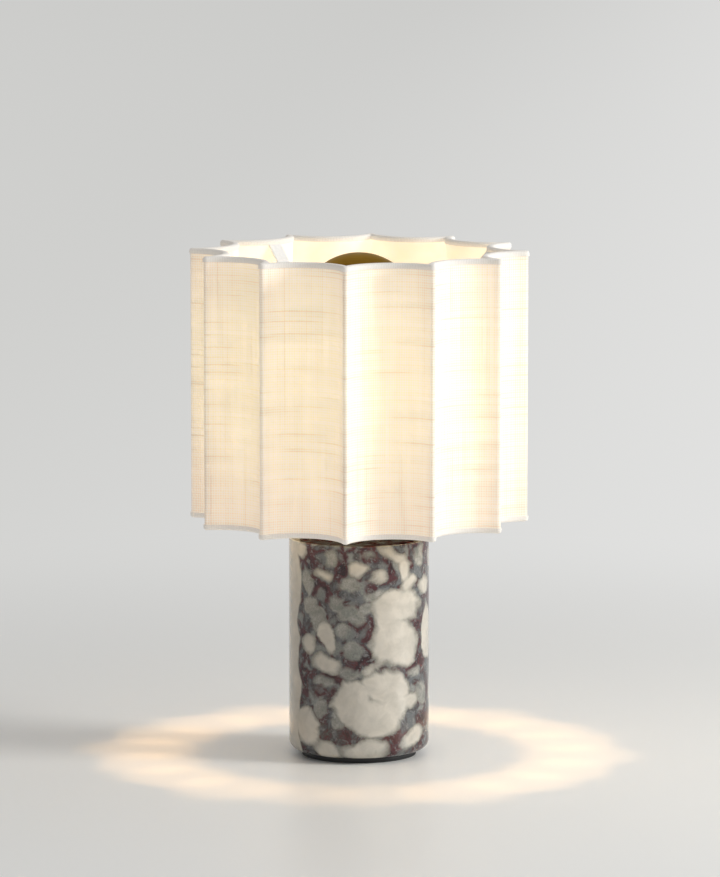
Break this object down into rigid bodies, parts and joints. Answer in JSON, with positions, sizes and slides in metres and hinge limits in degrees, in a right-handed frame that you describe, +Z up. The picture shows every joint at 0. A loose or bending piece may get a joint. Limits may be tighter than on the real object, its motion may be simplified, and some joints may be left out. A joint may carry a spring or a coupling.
{
  "type": "table lamp",
  "caption": "Cordless table lamp: a marble column, a brass-domed light on a stem, and a scalloped linen shade that turns on its seat and lifts off.",
  "frame": {"origin": "centre of the foot's lower face, on the surface that the lamp stands on", "axes": "+Z up along the column's axis; +Y to the rear, where the charging inlet is; +X to the right seen from the front"},
  "size_m": [0.2, 0.2, 0.3],
  "materials": {
    "marble": "polished breccia marble, pale clasts in a dark burgundy-grey matrix",
    "foot_rubber": "matt black rubber",
    "black_steel": "satin black paint",
    "black_screws": "black oxide",
    "insert_brass": "plain machined brass",
    "black_plastic": "fine moulded texture",
    "cell_wrap": "shrunk-on film",
    "bright_steel": "zinc plated",
    "circuit_board": "green solder mask",
    "red_wire": "smooth insulation",
    "brushed_brass": "satin, turned",
    "dome_brass": "aged satin, spun, brushed round its axis",
    "white_board": "white solder mask on aluminium",
    "led_phosphor": "yellow phosphor",
    "white_lead": "soft white jacket",
    "opal": "opal acrylic, lit from inside",
    "felt": "pressed wool felt",
    "white_steel": "satin white powder coat",
    "linen": "off-white slub linen, plain weave",
    "lining": "smooth cream lining",
    "trim_tape": "grey-white woven tape, rolled over the edge"
  },
  "bodies": {
    "base": {"foot_pad": "foot_rubber", "base_plate": "black_steel", "plate_screws": "black_screws", "screw_inserts": "insert_brass", "marble_base": "marble", "battery_holder": "black_plastic", "battery_cells": "cell_wrap", "battery_lid": "black_plastic", "lid_screws": "bright_steel", "charge_board": "circuit_board", "charge_lead": "red_wire", "port_bezel": "black_plastic", "port_board": "circuit_board", "usb_socket": "bright_steel", "stem_tube": "bright_steel", "stem_washer": "bright_steel", "touch_terminal": "insert_brass", "stem_nut": "bright_steel", "collar": "brushed_brass", "stem_sleeve": "brushed_brass", "lamp_cup": "brushed_brass", "lamp_nut": "bright_steel", "led_board": "white_board", "led_chips": "led_phosphor", "lamp_lead": "white_lead", "diffuser": "opal", "seat_plate": "brushed_brass", "dome_base": "brushed_brass", "dome_cap": "dome_brass"},
    "washer": {"seat_washer": "felt"},
    "shade": {"spider_ring": "white_steel", "spider_arms": "white_steel", "linen_cover": "linen", "top_ring": "white_steel", "bottom_ring": "white_steel", "shade_ribs": "white_steel", "shade_lining": "lining", "top_trim": "trim_tape", "bottom_trim": "trim_tape"}
  },
  "joints": [
    {"name": "shade_turn", "type": "hinge", "parent": "base", "child": "washer", "pos_m": [0, 0, 0.25205], "axis": [0, 0, 1], "continuous": true},
    {"name": "shade_lift", "type": "slide", "parent": "washer", "child": "shade", "axis": [0, 0, 1], "range_m": [0, 0.17]}
  ]
}
